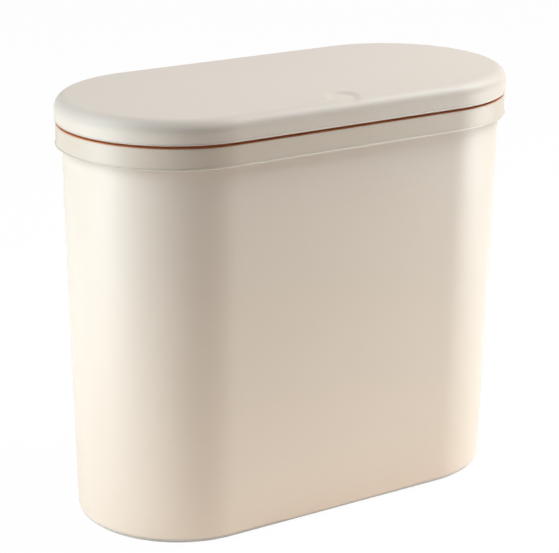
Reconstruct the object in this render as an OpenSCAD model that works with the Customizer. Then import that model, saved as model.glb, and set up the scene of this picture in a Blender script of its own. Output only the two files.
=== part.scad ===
// Push top countertop bin: a bucket with a lift-off collar, a hinged lid and a push latch.
// Origin at the middle of the base, on the surface it stands on. +Z up, the front faces -Y.

/* [Outline] */
// Straight length of each long side
straight_l = 159; // [120:1:220]
// Radius of the round ends, half the depth of the lid and collar
end_r = 73.5; // [66:0.5:90]

/* [Bucket] */
// Height of the bucket that shows below the collar
bucket_h = 238; // [160:1:300]
// How far the collar stands out over the bucket
collar_step = 4; // [4:0.1:5]
// How much each side leans in between the collar and the base
bucket_draft = 4.8; // [2:0.1:9]
// Thickness of the bucket wall
bucket_t = 2; // [1.6:0.1:2.4]
// Thickness of the bucket floor
floor_t = 2.2; // [1.6:0.1:4]
// Height of the recess under the floor
floor_recess = 3; // [2:0.1:6]
// Width of the rim that the bucket stands on
foot_w = 6; // [5.5:0.1:9]
// Radius of the outer bottom edge
foot_fillet = 4.5; // [2:0.1:5]
// Number of stiffening ribs across the underside
base_rib_count = 7; // [3:2:13]
// Thickness of those ribs
base_rib_t = 1.4; // [1:0.1:2]

/* [Pads] */
// Radius of the anti-slip pads
pad_r = 6; // [4:0.5:8]
// How far a pad stands out below the foot rim
pad_proud = 0.5; // [0.4:0.1:1.5]
// Distance of the pads from the middle, along the length
pad_x = 62; // [45:1:75]
// Distance of the pads from the middle, across the depth
pad_y = 40; // [30:1:44]

/* [Collar] */
// Height of the collar band
collar_h = 12.8; // [12:0.1:18]
// Thickness of the collar's outer wall
collar_t = 2.2; // [1.6:0.1:2.4]
// Thickness of the collar's deck
deck_t = 2; // [1.6:0.1:2.6]
// Radius on the lower outer edge of the collar
collar_edge_r = 1; // [0.4:0.1:1.5]
// Radius on the upper outer edge of the collar
deck_edge_r = 0.6; // [0.3:0.1:1]
// Thickness of the inner skirt and of the upstand over it
skirt_t = 1.8; // [1.4:0.1:2.2]
// Depth of the inner skirt below the deck
skirt_h = 24; // [22:0.5:40]
// Height of the upstand above the deck
upstand_h = 5.7; // [4:0.1:6]
// Gap between the skirt and the inside of the bucket
skirt_gap = 0.4; // [0.3:0.05:0.8]
// Gap between the collar's ribs and the bucket rim
seat_gap = 0.3; // [0.2:0.05:0.6]
// Thickness of the ribs that rest on the bucket rim
seat_rib_t = 1.4; // [1:0.1:2.5]
// Distance of those ribs from a hinge, along the back and the front
seat_rib_off = 27; // [25:1:32]

/* [Seal] */
// Width of the sealing ring
seal_w = 3.1; // [2:0.1:3.3]
// Height of the sealing ring
seal_h = 4.5; // [3:0.1:5]
// Gap between the sealing ring and the collar
seal_gap = 0.1; // [0.05:0.05:0.3]
// Depth of the rebate in the deck for the foot of the sealing ring
seal_rebate = 0.8; // [0.6:0.1:1]
// How far that foot stands out above the deck
seal_foot = 0.1; // [0.05:0.05:0.3]
// Width of the deck's rim outside the foot
deck_rim = 1; // [0.8:0.1:1.6]

/* [Lid] */
// Reveal between the collar and the lid, which the lid travels when it is pressed
lid_gap = 2; // [1.8:0.1:3]
// Height of the lid from its lower edge to the top of its shoulder
lid_h = 14.7; // [13:0.1:22]
// Radius of the lid's shoulder
lid_edge_r = 8.2; // [5:0.1:10]
// Rise of the lid's top from its shoulder to the middle
lid_crown = 2; // [0.5:0.1:4]
// Thickness of the lid
lid_t = 2; // [1.6:0.1:2.4]
// Width of the finger dimple
dimple_w = 28; // [18:1:36]
// Depth of the finger dimple
dimple_h = 1.1; // [0.5:0.1:1.3]
// Distance of the dimple from the front of the lid
dimple_in = 12.5; // [10:0.5:30]

/* [Lid frame] */
// Thickness of the frame under the lid
frame_t = 2; // [1.6:0.1:3]
// Gap between the frame's edge and the lid
frame_gap = 0.5; // [0.3:0.1:1]
// Gap between the frame and the upstand
frame_over = 2.5; // [2.2:0.1:3]
// Number of stiffening ribs on top of the frame
frame_rib_count = 6; // [2:1:10]
// Thickness of those ribs
frame_rib_t = 1.2; // [0.8:0.1:2]

/* [Hinge] */
// Distance of each hinge from the middle
hinge_x = 45; // [25:1:50]
// Distance of the hinge pin below the top of the collar
pin_drop = 6; // [5.8:0.1:6.5]
// Distance of the hinge pin from the collar's outer face
pin_inset = 5.5; // [5.3:0.1:5.6]
// Radius of the hinge pins
pin_r = 1.5; // [1.2:0.1:1.6]
// Running clearance of a hinge arm on its pin
pin_gap = 0.05; // [0.02:0.01:0.1]
// Clearance of a pin in the collar's ears
ear_gap = 0.02; // [0.01:0.01:0.05]
// Width of a hinge arm
arm_w = 10; // [7:0.5:14]
// Thickness of a hinge arm
arm_t = 3; // [2.4:0.1:3.2]
// How far a hinge arm reaches in from its pin before it rises
arm_reach = 9; // [8.6:0.1:11]
// Gap at each side of a hinge arm
arm_gap = 0.7; // [0.4:0.1:1]
// Gap between a hinge knuckle and the collar's outer wall
knuckle_gap = 0.4; // [0.3:0.05:0.5]
// Thickness of the ears that hold a pin
ear_t = 3; // [2:0.1:4]
// Thickness of the clip-on cover over a hinge spring
hinge_cover_t = 1.8; // [1.5:0.1:2.4]
// Radius of the pegs that hold it
peg_r = 1; // [0.8:0.1:1.4]

/* [Hinge springs] */
// Wire radius of the hinge springs
coil_wire_r = 0.45; // [0.3:0.05:0.5]
// Gap between a hinge spring and its pin
coil_gap = 0.2; // [0.1:0.05:0.3]
// Number of turns of a hinge spring
coil_turns = 4; // [3:1:4]
// Free gap between two turns
coil_turn_gap = 0.5; // [0.45:0.05:0.7]

/* [Latch] */
// Width of the latch slider
slider_w = 18; // [17:0.5:22]
// Depth of the latch slider
slider_d = 8; // [7.5:0.1:9]
// Travel of the latch slider
slider_travel = 1.5; // [1:0.1:1.5]
// Gap between the slider and its housing
slider_gap = 0.3; // [0.2:0.05:0.4]
// Thickness of the housing walls
housing_t = 1.8; // [1.4:0.1:2.4]
// Thickness of the housing cover
cover_t = 3; // [3:0.1:4]
// Thickness of the hooks that hold the striker
hook_t = 1.5; // [1.2:0.1:1.6]
// Clearance above and below the striker's head, beyond the travel
head_gap = 0.3; // [0.2:0.05:0.4]
// Side clearance of the striker in the slider
stem_gap = 0.5; // [0.4:0.05:0.8]
// Width of the striker's stem
stem_w = 4; // [3:0.1:5]
// Width of the striker's head
head_w = 9; // [8:0.1:10]
// Height of the striker's head
head_h = 2; // [1.6:0.1:2]
// Radius of the cam pin
cam_r = 0.6; // [0.5:0.05:0.7]
// Length of the cam link between its two pins
cam_l = 14; // [12:0.5:15]
// Wire radius of the latch spring
spring_wire_r = 0.35; // [0.25:0.05:0.4]
// Number of turns of the latch spring
spring_turns = 6; // [4:1:8]

/* [Screws] */
// Shank radius of the lid and striker screws
screw_r = 1.2; // [1:0.1:1.5]
// Head radius of all screws
screw_head_r = 2.6; // [2.2:0.1:3]
// Head height of all screws
screw_head_h = 1.2; // [0.8:0.1:1.5]
// Radial gap between a shank and its pilot hole
pilot_gap = 0.05; // [0.03:0.01:0.1]
// Wall of the bosses around the pilot holes
boss_wall = 2.2; // [1.5:0.1:3]

/* [Hidden] */
$fn = 96;

over = 1; // how far a cut runs past a face
bond = 0.2; // how far joined forms run into each other
end_gap = 0.2; // clearance at the end of a pin

// levels, from the surface up
half_l = straight_l / 2;
foot_z = pad_proud;
floor_z = foot_z + floor_recess;
band_z = foot_z + bucket_h;
deck_z = band_z + collar_h;
deck_under_z = deck_z - deck_t;
upstand_z = deck_z + upstand_h;
lid_z = deck_z + lid_gap;
shoulder_z = lid_z + lid_h;
frame_z = upstand_z + frame_over;
frame_top_z = frame_z + frame_t;

// radii of the stadium outlines
bucket_r = end_r - collar_step;
base_r = bucket_r - bucket_draft;
lean = bucket_draft / bucket_h;
function bucket_at(z) = base_r + lean * (z - foot_z);

// hinge axis, and what stays clear of it
pin_y = end_r - pin_inset;
pin_z = deck_z - pin_drop;
knuckle_r = pin_inset - collar_t - knuckle_gap;
ear_low_z = pin_z - knuckle_r - knuckle_gap;
rim_z = ear_low_z - 1;
coil_r = pin_r + coil_gap + coil_wire_r;
coil_pitch = 2 * coil_wire_r + coil_turn_gap;
coil_sweep = coil_turns - 0.75; // turns between the two legs
coil_l = coil_sweep * coil_pitch + 2 * coil_wire_r;
coil_room = coil_l + 2 * knuckle_gap;
slot_half = arm_w / 2 + arm_gap;
pin_half = slot_half + ear_t;
hinge_cover_from = slot_half + knuckle_gap + 2 * coil_wire_r + coil_gap;
hinge_cover_to = pin_half + coil_room;
hinge_cover_dent = 0.6; // room for the coil in the back of its cover
hinge_cover_lap = 6; // how far the cover laps over the skirt
peg_in = 2.1; // from the cover's sides to its pegs
peg_l = skirt_t - end_gap;

// collar
skirt_top_r = bucket_at(deck_under_z) - bucket_t - skirt_gap;
skirt_low_z = deck_under_z - skirt_h;
skirt_low_r = bucket_at(skirt_low_z) - bucket_t - skirt_gap;
throat_r = skirt_top_r - skirt_t;
channel_r = end_r - collar_t;
seat_rib_x = [hinge_x - seat_rib_off, hinge_x + seat_rib_off];
seat_rib_angles = [-72 : 36 : 72];
seal_r = skirt_top_r + seal_gap;
rebate_r = end_r - deck_rim;
rebate_z = deck_z - seal_rebate;

// lid
crown_angle = atan(2 * lid_crown / (end_r - lid_edge_r));
shoulder_low_z = shoulder_z - lid_edge_r;
lid_chamfer = 0.4;
crown_steps = 6;
shoulder_steps = 8;
dimple_r = (pow(dimple_w / 2, 2) + pow(dimple_h, 2)) / (2 * dimple_h);
function crown_edge_r(inset) = end_r - lid_edge_r + (lid_edge_r - inset) * sin(crown_angle);
function crown_edge_z(inset) = shoulder_low_z + (lid_edge_r - inset) * cos(crown_angle);
function lid_top(r, inset) = crown_edge_z(inset)
    + tan(crown_angle) * (pow(crown_edge_r(inset), 2) - r * r) / (2 * crown_edge_r(inset));

// lid frame: its edge follows the inside of the shoulder
frame_edge_r = end_r - lid_edge_r
    + sqrt(pow(lid_edge_r - lid_t, 2) - pow(max(0, frame_top_z - shoulder_low_z), 2)) - frame_gap;
frame_rib_h = lid_top(crown_edge_r(lid_t), lid_t) - frame_top_z - frame_gap;
frame_rib_step = (straight_l + end_r) / frame_rib_count;
boss_r = screw_r + boss_wall;
boss_ring = end_r * 0.55;
boss_places = concat([for (s = [-1, 1]) [s * (half_l + boss_ring), 0]],
    [for (sx = [-1, 1]) for (sy = [-1, 1]) [sx * half_l * 0.75, sy * boss_ring]]);

// latch, from the striker's head down
latch_top_z = deck_under_z;
slider_top_z = latch_top_z - slider_travel + slider_gap;
hook_z = slider_top_z - hook_t;
head_top_z = hook_z - slider_travel - head_gap;
head_low_z = head_top_z - head_h;
pocket_z = head_low_z - 1.4 - head_gap;
pocket_d = 5.6;
heart_h = 1.4;
heart_half = cam_r + slider_gap;
heart = [[0, -6], [-3.4, -2.5], [-2.4, 2.2], [0, 0], [2.2, 2.58], [3.4, -2.5]];
heart_high = 2.58;
heart_low = 6;
slider_web = 1; // wall left between the pocket, the track and the spring's hole
spring_seat = 4.3; // depth of the spring's hole
spring_free = 6.9; // room for the spring under the slider
heart_z = pocket_z - heart_high - heart_half - slider_web;
spring_hole_z = heart_z - heart_low - heart_half - slider_web / 2;
slider_low_z = spring_hole_z - spring_seat;
latch_floor_z = slider_low_z - spring_free;
latch_low_z = latch_floor_z - housing_t;
latch_back_y = -throat_r;
housing_back_t = 2.7;
latch_y = latch_back_y + housing_back_t + slider_gap + slider_d / 2;
cover_y = latch_y + slider_d / 2 + slider_gap;
housing_half = slider_w / 2 + slider_gap + housing_t;
lug_x = housing_half + 2.5;
lug_half = 3.2;
lug_z = heart_z - 2.5;
lug_pad_t = 4;
lug_pad_y = latch_back_y + lug_pad_t;
cam_z = heart_z - cam_l;
cam_recess = 1.8;
cam_half = 1.1;
cam_t = cam_recess - 2 * slider_gap;
cam_room = 0.8; // room round the link
cam_side = 1.4; // sideways travel of its upper pin
pivot_web = 0.4; // left of the cover behind the pivot hole
pivot_l = cover_t - pivot_web - slider_gap - end_gap;
spring_r = 1.8;
spring_hole_r = spring_r + spring_wire_r + slider_gap;
spring_low_z = latch_floor_z + 0.1;
spring_h = spring_hole_z - 0.1 - spring_low_z;

// striker
striker_t = 2.2;
striker_d = 10;
striker_half = 12;
striker_depth = 4;
striker_screw_x = 8.4;
striker_boss_h = 3;
striker_screw_l = striker_t + frame_t + 1.5;

// lid screws and soft stops
lid_screw_l = frame_t + 3;
bumper_r = 2.5;
bumper_lead = 0.2; // how far before the end of the travel the stops touch

cream = [0.88, 0.84, 0.79];
cream_inner = [0.84, 0.80, 0.75];
copper_brown = [0.45, 0.27, 0.18];
steel = [0.72, 0.73, 0.75];
dark = [0.20, 0.19, 0.18];
acetal = [0.93, 0.93, 0.91];

// points along an arc from angle a0 to a1
function arc(c, r, a0, a1, n) = [for (i = [0 : n])
    let (a = a0 + (a1 - a0) * i / n) [c[0] + r * cos(a), c[1] + r * sin(a)]];

function reverse(list) = [for (i = [len(list) - 1 : -1 : 0]) list[i]];

// sweeps a half profile (x = distance from the spine, y = height) round the stadium
module round_sweep() {
    for (s = [-1, 1])
        translate([s * half_l, 0, 0])
            rotate([0, 0, -s * 90])
                rotate_extrude(angle = 180)
                    children();
    translate([-half_l, 0, 0])
        rotate([90, 0, 90])
            linear_extrude(straight_l) {
                children();
                mirror([1, 0])
                    children();
            }
}

// a solid stadium plate
module plate(r, z0, z1) {
    round_sweep()
        polygon([[0, z0], [r, z0], [r, z1], [0, z1]]);
}

// a box by its lowest and highest corners
module block(low, high) {
    translate(low)
        cube(high - low);
}

// a round wire along a path, with its section turned round the Z axis
module wire(path, r) {
    sides = 6;
    n = len(path);
    unit = function (v) v / norm(v);
    points = [for (i = [0 : n - 1])
        let (t = unit(path[min(i + 1, n - 1)] - path[max(i - 1, 0)]),
            u = unit(cross(t, [0, 0, 1])),
            v = cross(t, u))
        for (j = [0 : sides - 1])
            path[i] + r * (cos(360 * j / sides) * u + sin(360 * j / sides) * v)];
    walls = [for (i = [0 : n - 2]) for (j = [0 : sides - 1])
        [i * sides + j, i * sides + (j + 1) % sides, (i + 1) * sides + (j + 1) % sides,
            (i + 1) * sides + j]];
    low = [for (j = [sides - 1 : -1 : 0]) j];
    high = [for (j = [0 : sides - 1]) (n - 1) * sides + j];
    polyhedron(points = points, faces = concat([low], walls, [high]));
}

function helix(r, rise, turns, start = 0, steps = 12) = [for (i = [0 : turns * steps])
    let (a = start + 360 * i / steps) [r * cos(a), r * sin(a), rise * i / steps]];

// a screw that points up, its domed head with a cross recess under z = 0
module screw(shank_r, shank_l) {
    edge = 0.4 * screw_head_h;
    flat_r = 0.65 * screw_head_r;
    slot_l = 0.6 * screw_head_r;
    slot_w = 0.14 * screw_head_r;
    difference() {
        rotate_extrude()
            polygon([[0, -screw_head_h], [flat_r, -screw_head_h], [screw_head_r, -edge], [screw_head_r, 0],
                [shank_r, 0], [shank_r, shank_l - edge], [shank_r - edge, shank_l], [0, shank_l]]);
        for (a = [0, 90])
            rotate([0, 0, a])
                block([-slot_l, -slot_w, -screw_head_h - over], [slot_l, slot_w, -edge]);
    }
}

// both hinges, each about its own pin
module at_hinges() {
    for (s = [0, 1])
        mirror([s, 0, 0])
            at_hinge()
                children();
}

module at_hinge() {
    translate([hinge_x, pin_y, pin_z])
        children();
}

// ---- bucket ----

module bucket_profile() {
    floor_top = floor_z + floor_t;
    inner_low = bucket_at(floor_top) - bucket_t;
    polygon(concat(
        [[0, floor_z], [base_r - foot_w, floor_z], [base_r - foot_w, foot_z]],
        arc([base_r - foot_fillet, foot_z + foot_fillet], foot_fillet, -90, 0, 5),
        [[bucket_at(rim_z), rim_z], [bucket_at(rim_z) - bucket_t, rim_z]],
        arc([inner_low - foot_fillet + bucket_t, floor_top + foot_fillet - bucket_t],
            foot_fillet - bucket_t, 0, -90, 4),
        [[0, floor_top]]));
}

module base_ribs() {
    rib_low = foot_z + 0.8;
    inner_r = base_r - foot_w + bond;
    intersection() {
        plate(inner_r, rib_low, floor_z + bond);
        union() {
            for (i = [0 : base_rib_count - 1]) {
                x = (i - (base_rib_count - 1) / 2) * straight_l / (base_rib_count - 1);
                block([x - base_rib_t / 2, -inner_r, rib_low], [x + base_rib_t / 2, inner_r, floor_z + bond]);
            }
            block([-half_l - inner_r, -base_rib_t / 2, rib_low],
                [half_l + inner_r, base_rib_t / 2, floor_z + bond]);
        }
    }
}

module pad_places() {
    for (sx = [-1, 1])
        for (sy = [-1, 1])
            translate([sx * pad_x, sy * pad_y, 0])
                children();
}

module bucket() {
    color(cream)
        difference() {
            union() {
                round_sweep()
                    bucket_profile();
                base_ribs();
                pad_places()
                    translate([0, 0, foot_z])
                        cylinder(r = pad_r + 2, h = floor_recess + bond);
            }
            pad_places()
                translate([0, 0, foot_z - over])
                    cylinder(r = pad_r + seat_gap, h = floor_recess + over);
        }
}

module base_pads() {
    color(dark)
        pad_places()
            cylinder(r = pad_r, h = floor_z);
}

// ---- collar ----

module collar_profile() {
    tip = deck_edge_r;
    polygon(concat(
        [[channel_r, band_z]],
        arc([end_r - collar_edge_r, band_z + collar_edge_r], collar_edge_r, -90, 0, 4),
        arc([end_r - deck_edge_r, deck_z - deck_edge_r], deck_edge_r, 0, 90, 3),
        [[rebate_r, deck_z], [rebate_r, rebate_z], [skirt_top_r, rebate_z],
            [skirt_top_r, upstand_z - tip], [skirt_top_r - tip, upstand_z],
            [throat_r + tip, upstand_z], [throat_r, upstand_z - tip],
            [throat_r, skirt_low_z], [skirt_low_r, skirt_low_z],
            [skirt_top_r, deck_under_z], [channel_r, deck_under_z]]));
}

// ribs across the channel, which rest on the bucket rim
module seat_ribs() {
    low = rim_z + seat_gap;
    from = throat_r + skirt_t / 2;
    to = channel_r + bond;
    for (sx = [-1, 1]) {
        for (sy = [0, 1])
            mirror([0, sy, 0])
                for (x = seat_rib_x)
                    block([sx * x - seat_rib_t / 2, from, low],
                        [sx * x + seat_rib_t / 2, to, deck_under_z + bond]);
        translate([sx * half_l, 0, 0])
            for (a = seat_rib_angles)
                rotate([0, 0, a + (sx > 0 ? 0 : 180)])
                    block([from, -seat_rib_t / 2, low], [to, seat_rib_t / 2, deck_under_z + bond]);
    }
}

// the two ears of one hinge, in the channel
module hinge_ears() {
    low = ear_low_z - pin_z;
    high = deck_under_z + bond - pin_z;
    back = channel_r + bond - pin_y;
    front = throat_r - pin_y;
    block([-pin_half, front, low], [-slot_half, back, high]);
    block([slot_half + coil_room, front, low], [pin_half + coil_room, back, high]);
}

// room for one arm, its spring and its pin
module hinge_room() {
    front = throat_r - over - pin_y;
    low = ear_low_z - pin_z;
    block([-slot_half, front, low], [slot_half, arm_t / 2 + arm_gap, upstand_z + over - pin_z]);
    block([-slot_half, front, low],
        [slot_half + coil_room, skirt_top_r + bond - pin_y, deck_under_z - pin_z]);
    rotate([0, 90, 0])
        translate([0, 0, -pin_half - over])
            cylinder(r = pin_r + ear_gap, h = 2 * (pin_half + over) + coil_room);
}

module at_lugs() {
    for (s = [-1, 1])
        translate([s * lug_x, 0, lug_z])
            children();
}

module collar() {
    color(cream)
        difference() {
            union() {
                round_sweep()
                    collar_profile();
                seat_ribs();
                at_hinges()
                    hinge_ears();
                at_lugs()
                    block([-lug_half, latch_back_y - bond, -lug_half], [lug_half, lug_pad_y, lug_half]);
            }
            at_hinges()
                hinge_room();
            at_lugs()
                translate([0, latch_back_y - 1, 0])
                    rotate([-90, 0, 0])
                        cylinder(r = screw_r + pilot_gap, h = lug_pad_t + 1 + over);
            at_hinges()
                at_pegs()
                    translate([0, -over, 0])
                        rotate([-90, 0, 0])
                            cylinder(r = peg_r + pilot_gap, h = skirt_t + 2 * over);
        }
}

// the two pegs of a hinge cover, from the inside of the skirt
module at_pegs() {
    for (x = [hinge_cover_from + peg_in, hinge_cover_to - peg_in])
        translate([x, throat_r - pin_y, ear_low_z - hinge_cover_lap / 2 - pin_z])
            children();
}

// a clip-on plate over one hinge spring, on the inside of the skirt
module hinge_cover() {
    corner = 1;
    back = throat_r - pin_y;
    front = back - hinge_cover_t;
    high = deck_z - corner - pin_z;
    low = ear_low_z - hinge_cover_lap - pin_z;
    color(cream_inner)
        difference() {
            union() {
                block([hinge_cover_from, front, low + corner], [hinge_cover_to, back, high - corner]);
                block([hinge_cover_from + corner, front, low], [hinge_cover_to - corner, back, high]);
                at_pegs()
                    translate([0, -bond, 0])
                        rotate([-90, 0, 0])
                            cylinder(r = peg_r, h = peg_l + bond);
            }
            block([hinge_cover_from - over, back - hinge_cover_dent, ear_low_z - pin_z],
                [slot_half + coil_room, back + over, deck_under_z - pin_z]);
        }
}

module hinge_cover_left() {
    mirror([1, 0, 0])
        at_hinge()
            hinge_cover();
}

module hinge_cover_right() {
    at_hinge()
        hinge_cover();
}

// a lip round the upstand on a flat foot in the deck's rebate
module seal_ring() {
    tip = seal_w / 2;
    foot_r = rebate_r - seal_gap;
    foot_top = deck_z + seal_foot;
    arm_y = arm_t / 2 + arm_gap;
    color(copper_brown)
        difference() {
            round_sweep()
                polygon(concat(
                    [[seal_r, rebate_z], [foot_r, rebate_z], [foot_r, foot_top], [seal_r + seal_w, foot_top]],
                    arc([seal_r + tip, deck_z + seal_h - tip], tip, 0, 180, 8)));
            at_hinges() {
                block([-slot_half, -pin_inset - over, 0], [slot_half, arm_y, foot_top + over - pin_z]);
                block([-slot_half, -pin_inset - over, foot_top - pin_z],
                    [slot_half, pin_inset + over, upstand_z + over - pin_z]);
            }
        }
}

// a headless pin, flush with the ears, its ends chamfered
module hinge_pin() {
    chamfer = 0.4;
    pin_l = 2 * pin_half + coil_room;
    color(steel)
        rotate([0, 90, 0])
            translate([0, 0, -pin_half])
                rotate_extrude()
                    polygon([[0, 0], [pin_r - chamfer, 0], [pin_r, chamfer], [pin_r, pin_l - chamfer],
                        [pin_r - chamfer, pin_l], [0, pin_l]]);
}

module hinge_pin_left() {
    mirror([1, 0, 0])
        at_hinge()
            hinge_pin();
}

module hinge_pin_right() {
    at_hinge()
        hinge_pin();
}

// a coil on the pin: one leg lifts the arm from below, the other bears on the deck
module hinge_spring() {
    arm_leg = [[arm_reach - 2 * arm_t / 3, coil_r, -slot_half + arm_gap], [coil_r + 1.2, coil_r, 0]];
    deck_leg = [[-coil_r, pin_z + end_gap - deck_under_z, coil_sweep * coil_pitch]];
    path = concat(arm_leg, helix(coil_r, coil_pitch, coil_sweep, start = 90), deck_leg);
    color(steel)
        translate([slot_half + knuckle_gap + coil_wire_r, 0, 0])
            rotate([90, 0, 90])
                rotate([0, 0, 180])
                    wire(path, coil_wire_r);
}

module hinge_spring_left() {
    mirror([1, 0, 0])
        at_hinge()
            hinge_spring();
}

module hinge_spring_right() {
    at_hinge()
        hinge_spring();
}

// ---- latch ----

module latch_housing() {
    color(dark)
        difference() {
            union() {
                block([-housing_half, latch_back_y, latch_low_z], [housing_half, cover_y, latch_top_z]);
                at_lugs()
                    block([-lug_half, lug_pad_y, -lug_half], [lug_half, cover_y, lug_half]);
            }
            block([housing_t - housing_half, latch_back_y + housing_back_t, latch_floor_z],
                [housing_half - housing_t, cover_y + over, latch_top_z + over]);
            at_lugs()
                translate([0, latch_back_y - over, 0])
                    rotate([-90, 0, 0])
                        cylinder(r = screw_r + pilot_gap, h = cover_y - latch_back_y + 2 * over);
            at_lugs()
                block([-lug_half - slider_gap, latch_back_y - over, -lug_half - slider_gap],
                    [lug_half + slider_gap, lug_pad_y, lug_half + slider_gap]);
        }
}

module latch_cover() {
    room = cam_half + cam_room;
    color(dark)
        difference() {
            union() {
                block([-housing_half, cover_y, latch_low_z], [housing_half, cover_y + cover_t, latch_top_z]);
                at_lugs()
                    block([-lug_half, cover_y, -lug_half], [lug_half, cover_y + cover_t, lug_half]);
            }
            block([-room - cam_side, cover_y - over, cam_z - room],
                [room + cam_side, cover_y + cam_recess, heart_z + room]);
            translate([0, cover_y, cam_z])
                rotate([-90, 0, 0])
                    cylinder(r = cam_r + pin_gap, h = cover_t - pivot_web);
            at_lugs()
                translate([0, cover_y - over, 0])
                    rotate([-90, 0, 0])
                        cylinder(r = screw_r + pilot_gap, h = cover_t + 2 * over);
        }
}

// the closed track that the cam link follows round its heart-shaped island
module heart_track() {
    last = len(heart) - 1;
    for (i = [0 : last])
        hull()
            for (p = [heart[i], heart[i == last ? 0 : i + 1]])
                translate(p)
                    circle(r = heart_half, $fn = 32);
}

module latch_slider() {
    half_w = slider_w / 2;
    half_d = slider_d / 2;
    pocket_half = head_w / 2 + stem_gap;
    mouth_half = stem_w / 2 + stem_gap;
    color(acetal)
        difference() {
            block([-half_w, latch_y - half_d, slider_low_z], [half_w, latch_y + half_d, slider_top_z]);
            block([-pocket_half, latch_y - pocket_d / 2, pocket_z],
                [pocket_half, latch_y + pocket_d / 2, hook_z]);
            block([-mouth_half, latch_y - pocket_d / 2, pocket_z],
                [mouth_half, latch_y + pocket_d / 2, slider_top_z + over]);
            translate([0, latch_y, slider_low_z - over])
                cylinder(r = spring_hole_r, h = spring_hole_z - slider_low_z + over);
            translate([0, latch_y + half_d + over, heart_z])
                rotate([90, 0, 0])
                    linear_extrude(heart_h + over)
                        heart_track();
        }
}

module cam_link() {
    link_y = cover_y + slider_gap;
    color(steel)
        union() {
            translate([0, link_y, cam_z])
                rotate([-90, 0, 0]) {
                    cylinder(r = cam_half, h = cam_t);
                    cylinder(r = cam_r, h = pivot_l);
                }
            block([-cam_half, link_y, cam_z], [cam_half, link_y + cam_t, heart_z]);
            translate([0, link_y + cam_t, heart_z])
                rotate([90, 0, 0]) {
                    cylinder(r = cam_half, h = cam_t);
                    cylinder(r = cam_r, h = cam_t + 2 * slider_gap + heart_h - 2 * end_gap);
                }
        }
}

module latch_spring() {
    rise = (spring_h - 2 * spring_wire_r) / spring_turns;
    color(steel)
        translate([0, latch_y, spring_low_z + spring_wire_r])
            wire(helix(spring_r, rise, spring_turns), spring_wire_r);
}

module latch_screws() {
    shank_l = cover_y + cover_t - latch_back_y - bond;
    color(steel)
        at_lugs()
            translate([0, cover_y + cover_t, 0])
                rotate([90, 0, 0])
                    screw(screw_r, shank_l);
}

// ---- lid ----

// the lid's outer curve, moved in by inset, from the middle to the lower edge
function lid_curve(inset) = concat(
    [for (i = [0 : crown_steps - 1])
        let (r = crown_edge_r(inset) * i / crown_steps) [r, lid_top(r, inset)]],
    arc([end_r - lid_edge_r, shoulder_low_z], lid_edge_r - inset, 90 - crown_angle, 0, shoulder_steps));

module lid_cover() {
    color(cream)
        difference() {
            union() {
                round_sweep()
                    polygon(concat(lid_curve(0),
                        [[end_r, lid_z + lid_chamfer], [end_r - lid_chamfer, lid_z], [end_r - lid_t, lid_z]],
                        reverse(lid_curve(lid_t))));
                for (p = boss_places)
                    translate([p[0], p[1], frame_top_z])
                        cylinder(r = boss_r, h = lid_top(boss_ring, lid_t / 2) - frame_top_z);
            }
            for (p = boss_places)
                translate([p[0], p[1], frame_top_z - over])
                    cylinder(r = screw_r + pilot_gap, h = lid_top(boss_ring, lid_t) - frame_top_z - 1 + over);
            translate([0, dimple_in - end_r, lid_top(end_r - dimple_in, 0) + dimple_r - dimple_h])
                sphere(r = dimple_r, $fn = 128);
        }
}

// one gooseneck arm: from its knuckle it runs in under the deck, then up to the frame
module hinge_arm() {
    rise = frame_z + bond - pin_z;
    rotate([90, 0, 90])
        translate([0, 0, -arm_w / 2])
            linear_extrude(arm_w)
                difference() {
                    union() {
                        circle(r = knuckle_r);
                        translate([-arm_reach, -arm_t / 2])
                            square([arm_reach, arm_t]);
                        translate([-arm_reach, 0])
                            circle(r = arm_t / 2);
                        translate([-arm_reach - arm_t / 2, 0])
                            square([arm_t, rise]);
                    }
                    circle(r = pin_r + pin_gap);
                }
}

module frame_ribs() {
    rib_half = frame_edge_r - lid_edge_r;
    for (i = [0 : frame_rib_count - 1]) {
        x = (i - (frame_rib_count - 1) / 2) * frame_rib_step;
        block([x - frame_rib_t / 2, -rib_half / 2, frame_top_z - bond],
            [x + frame_rib_t / 2, rib_half / 2, frame_top_z + frame_rib_h]);
    }
    block([-half_l - rib_half / 3, -frame_rib_t / 2, frame_top_z - bond],
        [half_l + rib_half / 3, frame_rib_t / 2, frame_top_z + frame_rib_h]);
}

module at_striker_screws() {
    for (s = [-1, 1])
        translate([s * striker_screw_x, latch_y, 0])
            children();
}

module lid_frame() {
    color(cream_inner)
        difference() {
            union() {
                plate(frame_edge_r, frame_z, frame_top_z);
                frame_ribs();
                at_hinges()
                    hinge_arm();
                at_striker_screws()
                    translate([0, 0, frame_top_z - bond])
                        cylinder(r = boss_r, h = striker_boss_h + bond);
            }
            for (p = boss_places)
                translate([p[0], p[1], frame_z - over])
                    cylinder(r = screw_r + 4 * pilot_gap, h = frame_t + 2 * over);
            at_striker_screws()
                translate([0, 0, frame_z - over])
                    cylinder(r = screw_r + pilot_gap, h = frame_t + striker_boss_h - 1 + over);
        }
}

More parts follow.
